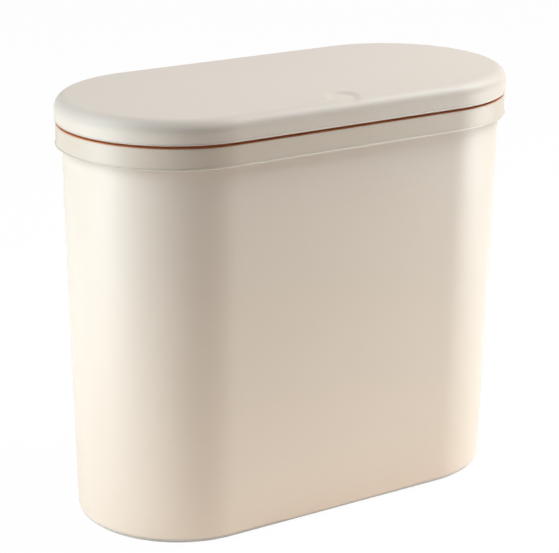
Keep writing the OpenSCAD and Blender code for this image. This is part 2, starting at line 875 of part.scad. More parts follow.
module striker() {
    half_head = head_w / 2;
    half_stem = stem_w / 2;
    color(dark)
        difference() {
            union() {
                block([-striker_half, latch_y - striker_d / 2, frame_z - striker_t],
                    [striker_half, latch_y + striker_d / 2, frame_z]);
                translate([0, latch_y + striker_depth / 2, 0])
                    rotate([90, 0, 0])
                        linear_extrude(striker_depth)
                            polygon([[-half_head + 1, head_low_z], [half_head - 1, head_low_z],
                                [half_head, head_low_z + 1], [half_head, head_top_z], [half_stem, head_top_z],
                                [half_stem, frame_z - bond], [-half_stem, frame_z - bond],
                                [-half_stem, head_top_z], [-half_head, head_top_z],
                                [-half_head, head_low_z + 1]]);
            }
            at_striker_screws()
                translate([0, 0, frame_z - striker_t - over])
                    cylinder(r = screw_r + 4 * pilot_gap, h = striker_t + 2 * over);
        }
}

module striker_screws() {
    color(steel)
        at_striker_screws()
            translate([0, 0, frame_z - striker_t])
                screw(screw_r, striker_screw_l);
}

module lid_screws() {
    color(steel)
        for (p = boss_places)
            translate([p[0], p[1], frame_z])
                screw(screw_r, lid_screw_l);
}

// two soft stops over the front of the upstand
module lid_bumpers() {
    bumper_h = frame_over - lid_gap + bumper_lead;
    color(dark)
        for (s = [-1, 1])
            translate([s * half_l * 0.8, -throat_r - skirt_t / 2, frame_z - bumper_h])
                cylinder(r = bumper_r, h = bumper_h);
}

bucket();
base_pads();
collar();
seal_ring();
hinge_pin_left();
hinge_pin_right();
hinge_spring_left();
hinge_spring_right();
hinge_cover_left();
hinge_cover_right();
latch_housing();
latch_cover();
latch_slider();
cam_link();
latch_spring();
latch_screws();
lid_cover();
lid_frame();
striker();
striker_screws();
lid_screws();
lid_bumpers();
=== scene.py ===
import math

import bmesh
import bpy
from mathutils import Matrix, Vector


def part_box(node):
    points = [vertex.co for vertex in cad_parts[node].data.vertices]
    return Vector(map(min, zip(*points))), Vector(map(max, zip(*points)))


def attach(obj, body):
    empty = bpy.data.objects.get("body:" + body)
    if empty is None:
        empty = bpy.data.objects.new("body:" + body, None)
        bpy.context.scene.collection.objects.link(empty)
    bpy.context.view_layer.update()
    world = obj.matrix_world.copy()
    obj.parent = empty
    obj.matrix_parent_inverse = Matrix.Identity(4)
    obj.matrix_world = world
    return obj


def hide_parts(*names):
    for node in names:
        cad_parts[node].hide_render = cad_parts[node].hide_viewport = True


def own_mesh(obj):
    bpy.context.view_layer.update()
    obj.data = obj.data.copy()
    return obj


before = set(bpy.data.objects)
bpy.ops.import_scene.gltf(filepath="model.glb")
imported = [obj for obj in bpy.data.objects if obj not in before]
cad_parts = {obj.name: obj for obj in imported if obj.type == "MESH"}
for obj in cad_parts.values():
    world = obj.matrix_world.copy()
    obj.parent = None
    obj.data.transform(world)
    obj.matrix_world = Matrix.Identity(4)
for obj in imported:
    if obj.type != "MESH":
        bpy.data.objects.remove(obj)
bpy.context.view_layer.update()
mm = 0.001
print("frame loaded:", len(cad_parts), "nodes")

# places that the frame gives
lidLow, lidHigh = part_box("lid_cover")
collarLow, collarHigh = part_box("collar")
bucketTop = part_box("bucket")[1].z
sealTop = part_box("seal_ring")[1].z
pinLow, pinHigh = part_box("hinge_pin_right")
pin = {"y": (pinLow.y + pinHigh.y) / 2, "z": (pinLow.z + pinHigh.z) / 2}

outline = {  # the bin seen from above: two straight sides and two round ends
    "endR": lidHigh.y,  # radius of the round ends
    "halfL": lidHigh.x - lidHigh.y,  # half of the straight sides
    "arcSteps": 72,  # stations round one end
    "straightStep": 1.25 * mm,  # distance between stations along a side
}
meshValues = {
    "mergeGap": 1e-7,
    "weldGap": 1e-6,
    "sharp": 40,  # degrees from which an edge shows as sharp
    "bevelFrom": 38,  # degrees from which an edge is softened
    "bevelSteps": 2,
    "boxEdge": 0.25 * mm,  # softened edge of ribs and ears
    "lipSteps": 6,  # steps round the lower edge of the collar and the lid
    "bond": 0.2 * mm,  # how far two pieces of one node sink into each other
    "over": 1.0 * mm,  # how far a cutter reaches past what it cuts
}


# profiles are lists of (distance from the spine, height)
def arcPoints(centre, radius, start, end, steps):  # angles in degrees
    points = []
    for i in range(steps + 1):
        a = math.radians(start + (end - start) * i / steps)
        points.append((centre[0] + radius * math.cos(a), centre[1] + radius * math.sin(a)))
    return points


def linePoints(start, end, steps):  # both ends left out
    return [tuple(s + (e - s) * i / steps for s, e in zip(start, end)) for i in range(1, steps)]


def lipPoints(radius, low, edge, proud, rise):  # round lower edge and the fine slope above it
    corner = arcPoints((radius - edge, low + edge), edge, -90, 0, meshValues["lipSteps"])
    return corner + [(radius - proud, low + edge + rise)]


def stations():  # (spine x, normal x, normal y), anticlockwise from the front left
    halfL, arcSteps = outline["halfL"], outline["arcSteps"]
    steps = round(2 * halfL / outline["straightStep"])
    along = [-halfL + 2 * halfL * i / steps for i in range(steps)]
    turn = [math.radians(180 * i / arcSteps) for i in range(arcSteps)]
    front = [(x, 0.0, -1.0) for x in along]
    right = [(halfL, math.sin(a), -math.cos(a)) for a in turn]
    back = [(-x, 0.0, 1.0) for x in along]
    left = [(-halfL, -math.sin(a), math.cos(a)) for a in turn]
    return front + right + back + left


def addObject(name, data):
    piece = bpy.data.objects.new(name, data)
    bpy.context.scene.collection.objects.link(piece)
    return piece


def bakedMesh(piece):  # what its modifiers, or its curve's thickness, make of it
    bpy.context.view_layer.update()
    return bpy.data.meshes.new_from_object(piece.evaluated_get(bpy.context.evaluated_depsgraph_get()))


def shadeMesh(mesh, sharp):
    mesh.shade_smooth()
    mesh.set_sharp_from_angle(angle=math.radians(sharp))


def finishMesh(name, bm, material, sharp=meshValues["sharp"]):
    bmesh.ops.remove_doubles(bm, verts=bm.verts, dist=meshValues["mergeGap"])
    bmesh.ops.recalc_face_normals(bm, faces=bm.faces)
    mesh = bpy.data.meshes.new(name)
    bm.to_mesh(mesh)
    bm.free()
    shadeMesh(mesh, sharp)
    piece = addObject(name, mesh)
    mesh.materials.append(material)
    return piece


def sweepStadium(name, profile, material, sharp=meshValues["sharp"], shift=None):  # a closed profile
    bm = bmesh.new()
    rings = []
    for x, nx, ny in stations():
        ring = []
        for r, z in profile:
            point = Vector((x + nx * r, ny * r, z))
            ring.append(bm.verts.new(shift(point) if shift else point))
        rings.append(ring)
    count = len(profile)
    for i, ring in enumerate(rings):
        following = rings[(i + 1) % len(rings)]
        for j in range(count):
            k = (j + 1) % count
            if profile[j][0] > 0 or profile[k][0] > 0:  # no wall along the spine
                bm.faces.new((ring[j], following[j], following[k], ring[k]))
    return finishMesh(name, bm, material, sharp)


def addBox(bm, low, high):
    low, high = Vector(low), Vector(high)
    size = high - low
    place = Matrix.Translation((low + high) / 2) @ Matrix.Diagonal((*size, 1))
    return bmesh.ops.create_cube(bm, size=1, matrix=place)["verts"]


def addBevel(piece, width, weld=False):
    if weld:
        piece.modifiers.new("weld", "WELD").merge_threshold = meshValues["weldGap"]
    bevel = piece.modifiers.new("edges", "BEVEL")
    bevel.width = width
    bevel.segments = meshValues["bevelSteps"]
    bevel.limit_method = "ANGLE"
    bevel.angle_limit = math.radians(meshValues["bevelFrom"])


def boxesPiece(name, boxes, material):  # boxes: (low, high, turn about z, centre of the turn)
    bm = bmesh.new()
    for low, high, turn, centre in boxes:
        verts = addBox(bm, low, high)
        if turn:
            spin = Matrix.Rotation(math.radians(turn), 3, "Z")
            bmesh.ops.rotate(bm, verts=verts, cent=centre, matrix=spin)
    piece = finishMesh(name, bm, material)
    addBevel(piece, meshValues["boxEdge"])
    return piece


def cutAway(piece, boxes, sharp):  # takes boxes out of a piece for good
    cutters = []
    for low, high in boxes:
        bm = bmesh.new()
        addBox(bm, low, high)
        mesh = bpy.data.meshes.new("cutter")
        bm.to_mesh(mesh)
        bm.free()
        cutters.append(addObject("cutter", mesh))
        cut = piece.modifiers.new("cut", "BOOLEAN")  # one each, because the boxes overlap
        cut.object = cutters[-1]
        cut.operation = "DIFFERENCE"
        cut.solver = "EXACT"
    baked = bakedMesh(piece)
    piece.modifiers.clear()
    piece.data = baked
    shadeMesh(baked, sharp)
    for cutter in cutters:
        bpy.data.objects.remove(cutter)


class Socket:  # a shader socket that takes part in sums
    def __init__(self, tree, out=None):
        self.tree, self.out = tree, out

    def make(self, kind, settings=None, values=None, output=0):  # settings first, then values or links
        node = self.tree.nodes.new(kind)
        for key, value in (settings or {}).items():
            setattr(node, key, value)
        for key, value in (values or {}).items():
            if isinstance(value, Socket):
                self.tree.links.new(value.out, node.inputs[key])
            else:
                node.inputs[key].default_value = value
        return Socket(self.tree, node.outputs[output] if node.outputs else None)

    def maths(self, operation, first, second):
        return self.make("ShaderNodeMath", {"operation": operation}, {0: first, 1: second})

    def __add__(self, other): return self.maths("ADD", self, other)

    def __radd__(self, other): return self.maths("ADD", other, self)

    def __sub__(self, other): return self.maths("SUBTRACT", self, other)

    def __rsub__(self, other): return self.maths("SUBTRACT", other, self)

    def __mul__(self, other): return self.maths("MULTIPLY", self, other)

    def __rmul__(self, other): return self.maths("MULTIPLY", other, self)

    def blend(self, first, second):  # a colour mix with self as its factor
        return self.make("ShaderNodeMix", {"data_type": "RGBA"}, {0: self, 6: first, 7: second}, output=2)


def newMaterial(name):
    material = bpy.data.materials.new(name)
    material.use_nodes = True
    material.node_tree.nodes.clear()
    return material, Socket(material.node_tree)


def finishMaterial(base, shader):
    base.make("ShaderNodeOutputMaterial", {}, {"Surface": shader})


def objectPlace(base):
    return base.make("ShaderNodeTexCoord", output=3)


def noise(base, where, scale, detail=3.0, rough=0.5):
    values = {"Vector": where, "Scale": scale, "Detail": detail, "Roughness": rough}
    return base.make("ShaderNodeTexNoise", {}, values)


def smoothStep(base, source, span, ends):
    values = {0: source, 1: span[0], 2: span[1], 3: ends[0], 4: ends[1]}
    return base.make("ShaderNodeMapRange", {"interpolation_type": "SMOOTHSTEP"}, values)


def linear(*colour):  # a colour as it shows, 0 to 255, turned into what a shader takes
    parts = [c / 255 for c in colour]
    return tuple(((p + 0.055) / 1.055) ** 2.4 if p > 0.04045 else p / 12.92 for p in parts) + (1.0,)


plasticValues = {  # shared by all moulded finishes
    "toneShare": 0.75,  # share of the slow tone in the colour, the rest is fine specks
    "grainDeep": 0.05 * mm,
    "milkyColour": (1.0, 0.6, 0.4),
    "milkyDeep": 2 * mm,
}


def moulded(name, values):  # satin moulded plastic: fine grain, faint flow tone, uneven gloss
    shared = plasticValues
    material, base = newMaterial(name)
    where = objectPlace(base)
    tone = noise(base, where, values["toneScale"], detail=4.0)
    speck = noise(base, where, values["speckScale"], detail=2.0)
    grain = noise(base, where, values["grainScale"], detail=2.0, rough=0.6)
    factor = tone * shared["toneShare"] + speck * (1 - shared["toneShare"])
    bump = {"Strength": values["grain"], "Distance": shared["grainDeep"], "Height": grain}
    finishMaterial(base, base.make("ShaderNodeBsdfPrincipled", {}, {
        "Base Color": factor.blend(linear(*values["dark"]), linear(*values["light"])),
        "Roughness": values["gloss"] + (speck - 0.5) * values["glossVary"],
        "IOR": values["ior"],
        "Subsurface Weight": values["milky"],
        "Subsurface Radius": shared["milkyColour"],
        "Subsurface Scale": shared["milkyDeep"],
        "Normal": base.make("ShaderNodeBump", {}, bump),
    }))
    return material


def plated(name, values):  # drawn and plated steel with fine marks
    material, base = newMaterial(name)
    where = objectPlace(base)
    marks = noise(base, where, values["markScale"], detail=4.0)
    tone = noise(base, where, values["toneScale"], detail=2.0)
    bump = {"Strength": values["marks"], "Distance": values["marksDeep"], "Height": marks}
    finishMaterial(base, base.make("ShaderNodeBsdfPrincipled", {}, {
        "Base Color": tone.blend(linear(*values["dark"]), linear(*values["light"])),
        "Metallic": 1.0,
        "Roughness": values["gloss"] + (marks - 0.5) * values["glossVary"],
        "Normal": base.make("ShaderNodeBump", {}, bump),
    }))
    return material


# finishes; gloss is a roughness, so a higher one is duller
creamFinish = {
    "dark": (206, 193, 181), "light": (212, 200, 189),
    "toneScale": 9.0, "speckScale": 420.0, "grainScale": 2600.0,
    "grain": 0.25, "gloss": 0.45, "glossVary": 0.06, "ior": 1.5, "milky": 0.0,
}
# lid: the bucket's cream plastic with painted shade, a slightly darker colour that tones down the strongly
# lit top; its gloss is its own
lidGlossAndShade = dict(creamFinish, dark=(201, 188, 177), light=(207, 195, 185), gloss=0.5)
# collar: the bucket's cream plastic with painted shade, a darker colour that darkens the band below the
# lid; its gloss is its own
collarGlossAndShade = dict(creamFinish, dark=(194, 180, 166), light=(200, 187, 174), gloss=0.44)
frameFinish = {
    "dark": (204, 188, 171), "light": (210, 195, 178),
    "toneScale": 12.0, "speckScale": 500.0, "grainScale": 2000.0,
    "grain": 0.5, "gloss": 0.5, "glossVary": 0.1, "ior": 1.48, "milky": 0.0,
}
sealFinish = {
    "dark": (188, 114, 70), "light": (202, 126, 80),
    "toneScale": 40.0, "speckScale": 900.0, "grainScale": 3000.0,
    "grain": 0.4, "gloss": 0.5, "glossVary": 0.1, "ior": 1.45, "milky": 0.0,
}
latchFinish = {
    "dark": (58, 56, 54), "light": (68, 66, 63),
    "toneScale": 60.0, "speckScale": 900.0, "grainScale": 3500.0,
    "grain": 0.8, "gloss": 0.48, "glossVary": 0.12, "ior": 1.5, "milky": 0.0,
}
sliderFinish = {
    "dark": (226, 225, 219), "light": (236, 235, 230),
    "toneScale": 70.0, "speckScale": 800.0, "grainScale": 3000.0,
    "grain": 0.3, "gloss": 0.35, "glossVary": 0.06, "ior": 1.48, "milky": 0.15,
}
padFinish = {
    "dark": (50, 48, 46), "light": (62, 60, 57),
    "toneScale": 80.0, "speckScale": 1200.0, "grainScale": 4000.0,
    "grain": 1.0, "gloss": 0.75, "glossVary": 0.1, "ior": 1.45, "milky": 0.0,
}
steelFinish = {
    "dark": (168, 170, 174), "light": (200, 202, 206), "toneScale": 120.0, "markScale": 2400.0,
    "marks": 0.15, "marksDeep": 0.02 * mm, "gloss": 0.3, "glossVary": 0.2,
}

cream = moulded("creamPlastic", creamFinish)
# the lid's cream carries painted shade
lidShadedCream = moulded("lidShadedCreamPlastic", lidGlossAndShade)
# the collar's cream carries painted shade
collarShadedCream = moulded("collarShadedCreamPlastic", collarGlossAndShade)
frameCream = moulded("frameCreamPlastic", frameFinish)
sealBrown = moulded("copperBrownSeal", sealFinish)
latchGrey = moulded("latchPlastic", latchFinish)
sliderWhite = moulded("sliderPlastic", sliderFinish)
padGrey = moulded("padRubber", padFinish)
steel = plated("platedSteel", steelFinish)
print("materials made")


bucketValues = {
    "foot": 0.5 * mm,  # height of the foot rim, which the pads stand below
    "bandLow": 238.5 * mm,  # height of the collar's lower edge
    "topR": 69.5 * mm,  # radius at that height
    "draft": 4.8 * mm,  # lean of each side over the height
    "wall": 2.0 * mm,
    "fillet": 4.5 * mm,
    "footWidth": 6.0 * mm,
    "footEdge": 0.6 * mm,
    "recess": 3.0 * mm,
    "floor": 2.2 * mm,
    "ribCount": 7,  # under the floor
    "ribThick": 1.4 * mm,
    "ribLift": 0.8 * mm,  # height of the ribs' lower edge above the foot rim
    "footSteps": 3, "filletSteps": 10, "outsideSteps": 24, "rimSteps": 8,
    "insideSteps": 16, "cornerSteps": 8, "floorSteps": 8,
}


def bucketRadius(z):
    v = bucketValues
    return v["topR"] - v["draft"] * (v["bandLow"] - z) / (v["bandLow"] - v["foot"])


def makeBucket():
    v = bucketValues
    foot, rim, baseR = v["foot"], bucketTop, bucketRadius(v["foot"])
    fillet, wall, lip = v["fillet"], v["wall"], v["wall"] / 2
    edge, recessR = v["footEdge"], baseR - v["footWidth"]
    floorLow = foot + v["recess"]
    floorTop = floorLow + v["floor"]
    inner = bucketRadius(floorTop) - wall
    rimR = bucketRadius(rim - lip)
    outside = (bucketRadius(foot + fillet), foot + fillet), (rimR, rim - lip)
    inside = (rimR - wall, rim - lip), (inner, floorTop + fillet)
    profile = [(0.0, floorLow)]
    profile += linePoints((0.0, floorLow), (recessR - edge, floorLow), v["floorSteps"])
    profile += arcPoints((recessR - edge, floorLow - edge), edge, 90, 0, v["footSteps"])
    profile += arcPoints((recessR + edge, foot + edge), edge, 180, 270, v["footSteps"])
    profile += arcPoints((baseR - fillet, foot + fillet), fillet, -90, 0, v["filletSteps"])
    profile += linePoints(*outside, v["outsideSteps"])
    profile += arcPoints((rimR - lip, rim - lip), lip, 0, 180, v["rimSteps"])
    profile += linePoints(*inside, v["insideSteps"])
    profile += arcPoints((inner - fillet, floorTop + fillet), fillet, 0, -90, v["cornerSteps"])
    profile += linePoints((inner - fillet, floorTop), (0.0, floorTop), v["floorSteps"])
    profile += [(0.0, floorTop)]
    shell = sweepStadium("bucketShell", profile, cream)
    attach(shell, "bucket")
    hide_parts("bucket")

    ribs = []
    reach = recessR + meshValues["bond"]
    low, high = foot + v["ribLift"], floorLow + meshValues["bond"]
    half = v["ribThick"] / 2
    for i in range(v["ribCount"]):
        x = (i / (v["ribCount"] - 1) - 0.5) * 2 * outline["halfL"]
        ribs.append(((x - half, -reach, low), (x + half, reach, high), 0, None))
    length = outline["halfL"] + reach
    ribs.append(((-length, -half, low), (length, half, high), 0, None))
    piece = boxesPiece("baseRibs", ribs, cream)
    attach(piece, "bucket")
    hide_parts("bucket")


makeBucket()
print("bucket made")


collarValues = {
    "wall": 2.2 * mm,
    "deckThick": 2.0 * mm,
    "deck": 251.3 * mm,  # top of the band
    "upstandOuter": 67.32 * mm,
    "upstandInner": 65.52 * mm,
    "upstandEdge": 0.6 * mm,
    "skirtLowR": 66.83 * mm,
    "skirtEdge": 0.5 * mm,
    "innerEdge": 0.3 * mm,  # of the band's wall
    "lowEdge": 0.5 * mm,
    "lipProud": 0.55 * mm,  # fine slope along the lower edge
    "lipRise": 0.75 * mm,
    "deckEdge": 0.3 * mm,
    "rebateR": 72.6 * mm,  # rebate for the seal's foot
    "rebateDeep": 0.8 * mm,
    "hingeX": 45.0 * mm,
    "slotHalf": 5.7 * mm,  # half width of an arm's slot
    "slotBack": 2.2 * mm,  # slot behind the pin
    "springRoom": 6.25 * mm,
    "cutPast": 0.2 * mm,  # how far the springs' room goes past the upstand
    "earThick": 3.0 * mm,
    "earLow": 242.0 * mm,
    "earInset": 0.4 * mm,
    "ribLow": 241.3 * mm,
    "ribThick": 1.4 * mm,
    "ribOffset": 27.0 * mm,  # from a hinge, along the back and the front
    "endRibTurns": (-72, -36, 0, 36, 72),  # ribs round each end, in degrees
    "sharp": 22,
    "edgeSteps": 5, "faceSteps": 6, "deckEdgeSteps": 6, "skirtSteps": 12,
}


def collarProfile():
    v = collarValues
    endR, band, deck = outline["endR"], bucketValues["bandLow"], v["deck"]
    under, channelR = deck - v["deckThick"], endR - v["wall"]
    top, low = collarHigh.z, collarLow.z
    outer, inner, rebate = v["upstandOuter"], v["upstandInner"], deck - v["rebateDeep"]
    face, deckEdge, tip = endR - v["lipProud"], v["deckEdge"], v["upstandEdge"]
    wallEdge, skirtEdge, steps = v["innerEdge"], v["skirtEdge"], v["edgeSteps"]
    front = (face, band + v["lowEdge"] + v["lipRise"]), (face, deck - deckEdge)
    profile = arcPoints((channelR + wallEdge, band + wallEdge), wallEdge, 180, 270, steps)
    profile += lipPoints(endR, band, v["lowEdge"], v["lipProud"], v["lipRise"])
    profile += linePoints(*front, v["faceSteps"])
    profile += arcPoints((face - deckEdge, deck - deckEdge), deckEdge, 0, 90, v["deckEdgeSteps"])
    profile += [(v["rebateR"], deck), (v["rebateR"], rebate), (outer, rebate)]
    profile += arcPoints((outer - tip, top - tip), tip, 0, 90, steps)
    profile += arcPoints((inner + tip, top - tip), tip, 90, 180, steps)
    profile += linePoints((inner, top - tip), (inner, low), v["skirtSteps"])
    profile += arcPoints((inner + skirtEdge, low + skirtEdge), skirtEdge, 180, 270, steps)
    profile += arcPoints((v["skirtLowR"] - skirtEdge, low + skirtEdge), skirtEdge, -90, 0, steps)
    return profile + [(outer, under), (channelR, under)]


def hingeSlots():  # an arm's slot through the upstand, and room for its spring under the deck
    v = collarValues
    under, top = v["deck"] - v["deckThick"], collarHigh.z + meshValues["over"]
    front, back = v["upstandInner"] - meshValues["over"], pin["y"] + v["slotBack"]
    slots = []
    for s in (-1, 1):
        near, far = s * (v["hingeX"] - v["slotHalf"]), s * (v["hingeX"] + v["slotHalf"])
        deep = s * (v["hingeX"] + v["slotHalf"] + v["springRoom"])
        past = v["upstandOuter"] + v["cutPast"]
        slots.append(((min(near, far), front, v["earLow"]), (max(near, far), back, top)))
        slots.append(((min(near, deep), front, v["earLow"]), (max(near, deep), past, under)))
    return slots


def ribsAndEars():
    v = collarValues
    inner, outer, halfL, bond = v["upstandInner"], v["upstandOuter"], outline["halfL"], meshValues["bond"]
    start, end = (inner + outer) / 2, outline["endR"] - v["wall"] + bond
    half, low, high = v["ribThick"] / 2, v["ribLow"], v["deck"] - v["deckThick"] + bond
    boxes = []
    for sx in (-1, 1):
        for sy in (-1, 1):
            for x in (v["hingeX"] - v["ribOffset"], v["hingeX"] + v["ribOffset"]):
                ys = sorted((sy * start, sy * end))
                boxes.append(((sx * x - half, ys[0], low), (sx * x + half, ys[1], high), 0, None))
        for turn in v["endRibTurns"]:
            centre, across = (sx * halfL, 0, 0), turn + (0 if sx > 0 else 180)
            ribLow, ribHigh = (sx * halfL + start, -half, low), (sx * halfL + end, half, high)
            boxes.append((ribLow, ribHigh, across, centre))
        for begin in (-v["slotHalf"] - v["earThick"], v["slotHalf"] + v["springRoom"]):
            xs = sorted((sx * (v["hingeX"] + begin), sx * (v["hingeX"] + begin + v["earThick"])))
            earLow, earHigh = (xs[0], inner + v["earInset"], v["earLow"]), (xs[1], end, high)
            boxes.append((earLow, earHigh, 0, None))
    return boxes


def makeCollar():
    sharp = collarValues["sharp"]
    ring = sweepStadium("collarBand", collarProfile(), collarShadedCream, sharp)
    cutAway(ring, hingeSlots(), sharp)
    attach(ring, "collar")
    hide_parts("collar")
    ears = boxesPiece("collarRibsAndEars", ribsAndEars(), collarShadedCream)
    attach(ears, "collar")
    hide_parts("collar")


makeCollar()
print("collar made")


sealValues = {
    "lipR": 1.76 * mm,  # round top of the lip
    "gap": 0.1 * mm,  # to the upstand
    "bend": 0.3 * mm,  # between the lip and the foot
    "footProud": 0.45 * mm,  # height of the foot above the deck
    "footEdge": 0.18 * mm,
    "footGap": 0.02 * mm,  # to the rebate's outer wall
    "armRoom": 6.5 * mm,  # room round a pin for the arm's knuckle
    "sharp": 34,
    "topSteps": 16, "bendSteps": 4, "edgeSteps": 4,
}


def makeSeal():
    v, c = sealValues, collarValues
    near, far = c["upstandOuter"] + v["gap"], c["rebateR"] - v["footGap"]
    foot, rebate = c["deck"] + v["footProud"], c["deck"] - c["rebateDeep"]
    lipR, bend, footEdge = v["lipR"], v["bend"], v["footEdge"]
    profile = arcPoints((near + lipR, sealTop - lipR), lipR, 180, 0, v["topSteps"])
    profile += arcPoints((near + 2 * lipR + bend, foot + bend), bend, 180, 270, v["bendSteps"])
    profile += arcPoints((far - footEdge, foot - footEdge), footEdge, 90, 0, v["edgeSteps"])
    profile += [(far, rebate), (near, rebate)]
    lip = sweepStadium("sealLip", profile, sealBrown, v["sharp"])
    front, back, top = pin["y"] - v["armRoom"], pin["y"] + v["armRoom"], collarHigh.z
    gaps = []
    for s in (-1, 1):
        left, right = s * c["hingeX"] - c["slotHalf"], s * c["hingeX"] + c["slotHalf"]
        low = (left, front, rebate - meshValues["over"])
        gaps.append((low, (right, pin["y"] + c["slotBack"], top)))
        gaps.append(((left, front, foot), (right, back, top)))
    cutAway(lip, gaps, v["sharp"])
    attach(lip, "collar")
    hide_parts("seal_ring")


makeSeal()
print("seal made")


lidValues = {
    "shoulder": 268.0 * mm,  # top of the shoulder, which the crown rises above
    "edgeR": 8.2 * mm,
    "crown": 2.0 * mm,
    "thick": 2.0 * mm,
    "lowEdge": 0.25 * mm,
    "innerEdge": 0.3 * mm,
    "lipProud": 0.4 * mm,  # fine slope along the lower edge
    "lipRise": 0.6 * mm,
    "dimpleW": 23.0 * mm,
    "dimpleDeep": 1.8 * mm,
    "dimpleY": -60.0 * mm,
    "dimpleWall": 0.4,  # share of the dish's radius taken by its sloping wall
    "sharp": 22,
    "topSteps": (64, 20),  # across the crown and round the shoulder
    "undersideSteps": (20, 8),
    "sideSteps": 4, "innerEdgeSteps": 5,
}


def lidCurve(inset, crownSteps, edgeSteps):  # from the middle to the lower end of the shoulder
    v = lidValues
    endR, edgeR = outline["endR"], v["edgeR"]
    slope = math.atan(2 * v["crown"] / (endR - edgeR))
    centre = (endR - edgeR, v["shoulder"] - edgeR)
    rs = centre[0] + (edgeR - inset) * math.sin(slope)
    zs = centre[1] + (edgeR - inset) * math.cos(slope)
    points = []
    for i in range(crownSteps):
        r = rs * i / crownSteps
        points.append((r, zs + math.tan(slope) * (rs * rs - r * r) / (2 * rs)))
    return points + arcPoints(centre, edgeR - inset, 90 - math.degrees(slope), 0, edgeSteps)


def pressDimple(point):  # a shallow dish with a flat bottom and a soft wall
    v = lidValues
    s = math.hypot(point.x, point.y - v["dimpleY"]) / (v["dimpleW"] / 2)
    if s < 1:
        t = min((1 - s) / v["dimpleWall"], 1.0)
        point.z -= v["dimpleDeep"] * t * t * (3 - 2 * t)
    return point


def makeLid():
    v = lidValues
    endR, low, thick, edge = outline["endR"], lidLow.z, v["thick"], v["innerEdge"]
    side = (endR, v["shoulder"] - v["edgeR"]), (endR - v["lipProud"], low + v["lowEdge"] + v["lipRise"])
    profile = lidCurve(0, *v["topSteps"])
    profile += linePoints(*side, v["sideSteps"])
    profile += reversed(lipPoints(endR, low, v["lowEdge"], v["lipProud"], v["lipRise"]))
    profile += arcPoints((endR - thick + edge, low + edge), edge, 270, 180, v["innerEdgeSteps"])
    profile += reversed(lidCurve(thick, *v["undersideSteps"]))
    cover = sweepStadium("lidCover", profile, lidShadedCream, v["sharp"], shift=pressDimple)
    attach(cover, "lid")
    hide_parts("lid_cover")


makeLid()
print("lid made")


frameValues = {  # plate under the lid
    "thick": 2.0 * mm, "low": 259.5 * mm, "radius": 70.76 * mm, "edge": 0.5 * mm,
    "plateSteps": 6, "edgeSteps": 4,
}
armValues = {  # gooseneck hinge arms
    "width": 10.0 * mm, "thick": 3.0 * mm, "reach": 9.0 * mm, "knuckle": 2.9 * mm,
    "flare": 1.0 * mm,  # how much wider each side is where it meets the plate
    "edge": 0.3 * mm, "sharp": 34,
    "knuckleSteps": 36, "bendSteps": 8, "throatSteps": 6,
}


def makeArm(name, x):  # one outline in the (y, z) plane, pushed along x
    v = armValues
    half, reach, knuckle, flare = v["thick"] / 2, v["reach"], v["knuckle"], v["flare"]
    start = math.degrees(math.asin(half / knuckle))
    rise = frameValues["low"] - pin["z"] + meshValues["bond"]
    rim = arcPoints((0, 0), knuckle, 180 - start, -180 + start, v["knuckleSteps"])
    rim += arcPoints((-reach, 0), half, -90, -180, v["bendSteps"])
    rim += [(-reach - half - flare, rise), (-reach + half + flare, rise)]
    rim += arcPoints((-reach + 2 * half, 2 * half), half, 180, 270, v["throatSteps"])
    bm = bmesh.new()
    for side in (-1, 1):
        for y, z in rim:
            bm.verts.new((x + side * v["width"] / 2, pin["y"] + y, pin["z"] + z))
    bm.verts.ensure_lookup_table()
    count = len(rim)
    bm.faces.new(bm.verts[:count])
    bm.faces.new(bm.verts[count:])
    for i in range(count):
        k = (i + 1) % count
        bm.faces.new((bm.verts[i], bm.verts[k], bm.verts[count + k], bm.verts[count + i]))
    arm = finishMesh(name, bm, frameCream, v["sharp"])
    addBevel(arm, v["edge"])
    return arm


def makeFrame():
    v = frameValues
    low, high, radius, edge = v["low"], v["low"] + v["thick"], v["radius"], v["edge"]
    profile = [(0.0, high)] + linePoints((0.0, high), (radius - edge, high), v["plateSteps"])
    profile += arcPoints((radius - edge, high - edge), edge, 90, 0, v["edgeSteps"])
    profile += arcPoints((radius - edge, low + edge), edge, 0, -90, v["edgeSteps"])
    profile += linePoints((radius - edge, low), (0.0, low), v["plateSteps"]) + [(0.0, low)]
    plate = sweepStadium("framePlate", profile, frameCream)
    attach(plate, "lid")
    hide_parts("lid_frame")
    for name, s in (("left", -1), ("right", 1)):
        arm = makeArm("hingeArm." + name, s * collarValues["hingeX"])
        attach(arm, "lid")
        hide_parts("lid_frame")


makeFrame()
print("lid frame made")


wireValues = {"stepsPerTurn": 24, "roundness": 3}
hingeSpringValues = {  # wire along the CAD's own path
    "wire": 0.45 * mm, "radius": 2.15 * mm, "turns": 3.25, "rise": 1.4 * mm,
    "start": 6.55 * mm,  # from the hinge's middle to the first turn
    "armLeg": ((7.0 * mm, -5.0 * mm), (3.35 * mm, 0.0)),  # leg under the arm: (forwards, along the pin)
    "deckGap": 0.2 * mm,
}
latchSpringValues = {"wire": 0.35 * mm, "radius": 1.8 * mm, "turns": 6, "stroke": 1.5 * mm}


def wirePiece(name, points, radius):
    curve = bpy.data.curves.new(name, "CURVE")
    curve.dimensions = "3D"
    curve.bevel_depth = radius
    curve.bevel_resolution = wireValues["roundness"]
    curve.use_fill_caps = True
    spline = curve.splines.new("POLY")
    spline.points.add(len(points) - 1)
    for place, point in zip(spline.points, points):
        place.co = (*point, 1)
    piece = addObject(name, curve)
    curve.materials.append(steel)
    return piece


